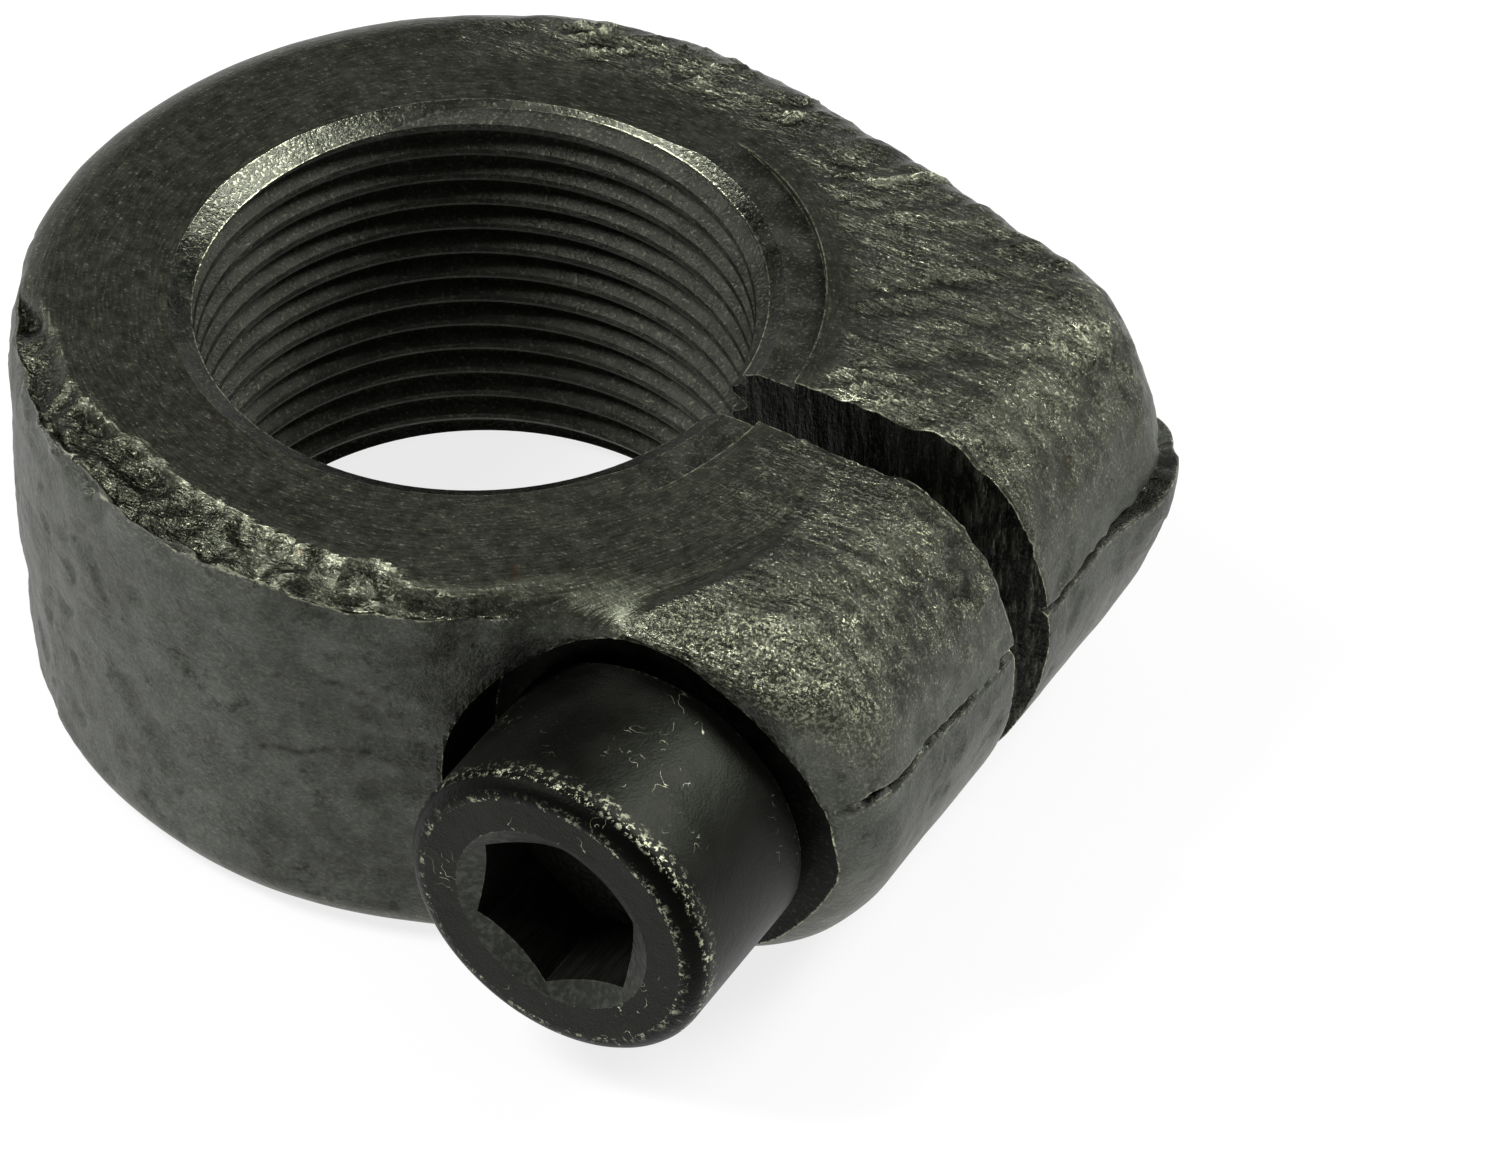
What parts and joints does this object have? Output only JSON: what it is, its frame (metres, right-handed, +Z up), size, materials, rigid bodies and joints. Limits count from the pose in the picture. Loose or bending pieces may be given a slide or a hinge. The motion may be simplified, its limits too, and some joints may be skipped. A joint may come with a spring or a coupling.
{
  "type": "threaded clamp collar",
  "caption": "Forged ring with a fine-threaded bore and two sawn ears, drawn together by a socket-head cap screw to lock on a threaded shaft.",
  "frame": {"origin": "on the threaded bore's axis, at the collar's bottom face", "axes": "+Z up the bore towards the faced side, +X from the bore to the ears and their saw cut, +Y from the screw's head to its tip"},
  "size_m": [0.0335, 0.0301, 0.0141],
  "materials": {
    "forged_body": "black oxide over an as-forged skin, with machined bore, facing and saw cut",
    "screw": "oiled black oxide, turned head with a scuffed rim"
  },
  "bodies": {
    "collar": {"collar_body": "forged_body"},
    "screw": {"clamp_screw": "screw"}
  },
  "joints": [
    {"name": "screw_turn", "type": "hinge", "parent": "collar", "child": "screw", "pos_m": [0.01248, -0.0099, 0.00695], "axis": [0, 1, 0], "range_deg": [-3276, 162]}
  ]
}
